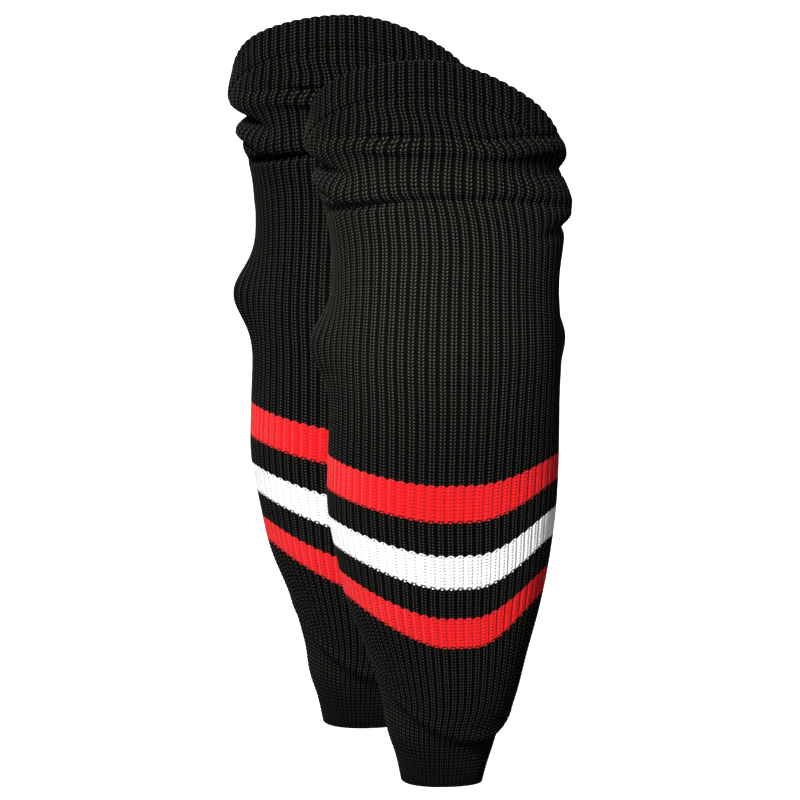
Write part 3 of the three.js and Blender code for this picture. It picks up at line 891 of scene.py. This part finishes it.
def make_guard(side, pads):
    for part, (body, slot, node) in GUARD_PIECES.items():
        name = f"{side}_{part}"
        if part in pads:
            piece = on_guard(pads[part], name, GUARDS[side])
        elif part in PLATES:
            piece = panel(name, PLATES[part], *PLATE_GRID, GUARDS[side])
        else:
            piece = panel(name, STRAPS[part], *STRAP_GRID, GUARDS[side])
        piece.data.materials.clear()
        piece.data.materials.append(FINISH[slot])
        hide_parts(f"{side}_{node}")
        if isinstance(body, tuple):
            bend(piece, side, *body)
        else:
            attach(piece, f"{side}_{body}")
    for node in ("strap_clip_upper", "strap_clip_lower"):
        repaint(f"{side}_{node}", FINISH["clip_plastic"])
    for node in ("link_rivet_right", "link_rivet_left"):
        repaint(f"{side}_{node}", FINISH["rivet_steel"])


def repaint(node, material):
    """Gives a carried-over CAD node its finish."""
    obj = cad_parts[node]
    if not obj.material_slots:
        obj.data.materials.append(material)
    for place in obj.material_slots:
        place.material = material


pad_forms = make_pads()
for side in GUARDS:
    make_guard(side, pad_forms)
for form in pad_forms.values():
    bpy.data.objects.remove(form)

# ---- Stage: floor, light and camera -----------------------------------------------------------------

VIEW = {"azimuth": -13.3, "elevation": 9.0, "lens": 800.0, "half_height": 312.0, "aim_right": -33.5,
        "aim_up": 301.0}


def direction(azimuth, elevation):
    """Azimuth, in degrees round from the -Y side towards +X, and elevation, as a unit vector."""
    azimuth, elevation = math.radians(azimuth), math.radians(elevation)
    return Vector((math.sin(azimuth) * math.cos(elevation), -math.cos(azimuth) * math.cos(elevation),
                   math.sin(elevation)))


def stand(name, data, location, back):
    """A camera or light at a location in metres, looking the opposite way to back."""
    obj = bpy.data.objects.new(name, data)
    obj.location = location
    obj.rotation_mode = "QUATERNION"
    obj.rotation_quaternion = (-back).to_track_quat("-Z", "Y")
    bpy.context.scene.collection.objects.link(obj)
    return obj


def make_camera():
    back = direction(VIEW["azimuth"], VIEW["elevation"])
    right = Vector((math.cos(math.radians(VIEW["azimuth"])), math.sin(math.radians(VIEW["azimuth"])), 0))
    data = bpy.data.cameras.new("camera")
    data.lens = VIEW["lens"]
    data.sensor_width = 36.0
    data.clip_end = 1000.0
    distance = VIEW["half_height"] * data.lens / (data.sensor_width / 2)
    aim = Vector((*GUARDS["left"], VIEW["aim_up"])) + right * VIEW["aim_right"]
    bpy.context.scene.camera = stand("camera", data, (aim + back * distance) * MM, back)


def make_floor():
    half = 60000.0
    corners = [(-half, -half, 0), (half, -half, 0), (half, half, 0), (-half, half, 0)]
    floor = mesh_object("floor", corners, [np.array([[0, 1, 2, 3]])])
    g = Graph("floor")
    coordinates = g.node("ShaderNodeTexCoord").outputs["Object"]
    tone = g.noise(coordinates, 3.0)
    g.set(Base_Color=g.mix(tone, (0.5, 0.5, 0.5, 1), (0.53, 0.53, 0.53, 1)), Roughness=0.9)
    g.set(Specular_IOR_Level=0.1, Emission_Color=(1, 1, 1, 1), Emission_Strength=1.0)
    floor.data.materials.append(g.material)
    # The glowing floor lights nothing, or the black yarn would look grey from below.
    floor.visible_diffuse = False
    floor.visible_glossy = False


def make_sun(name, azimuth, elevation, softness, strength):
    """An even, soft light: softness is the angle that it spreads over."""
    data = bpy.data.lights.new(name, "SUN")
    data.angle = math.radians(softness)
    data.energy = strength
    towards = direction(azimuth, elevation)
    stand(name, data, towards * 3, towards)


def make_spot(name, azimuth, elevation, aim, reach, across, power):
    """A round beam, `across` metres wide, on the front guard: aim is how far to its right and how high."""
    data = bpy.data.lights.new(name, "SPOT")
    data.spot_size = 2 * math.atan(across / 2 / reach)
    data.spot_blend = 1.0
    data.shadow_soft_size = 0.03
    data.energy = power
    towards = direction(azimuth, elevation)
    x, y = GUARDS["left"]
    stand(name, data, Vector((x + aim[0], y, aim[1])) * MM + towards * reach, towards)


def make_world():
    world = bpy.data.worlds.new("studio")
    world.use_nodes = True
    background = world.node_tree.nodes["Background"]
    background.inputs["Color"].default_value = (1.0, 1.0, 1.0, 1.0)
    background.inputs["Strength"].default_value = 0.08
    bpy.context.scene.world = world


make_camera()
make_floor()
make_world()
make_sun("key", azimuth=-34, elevation=36, softness=14, strength=6.6)
make_sun("fill", azimuth=62, elevation=20, softness=40, strength=0.75)
make_spot("knee", azimuth=-28, elevation=14, aim=(-4, 385), reach=2.5, across=0.3, power=400)
make_sun("rear", azimuth=195, elevation=38, softness=40, strength=2.2)
bpy.context.scene.view_settings.view_transform = "Standard"
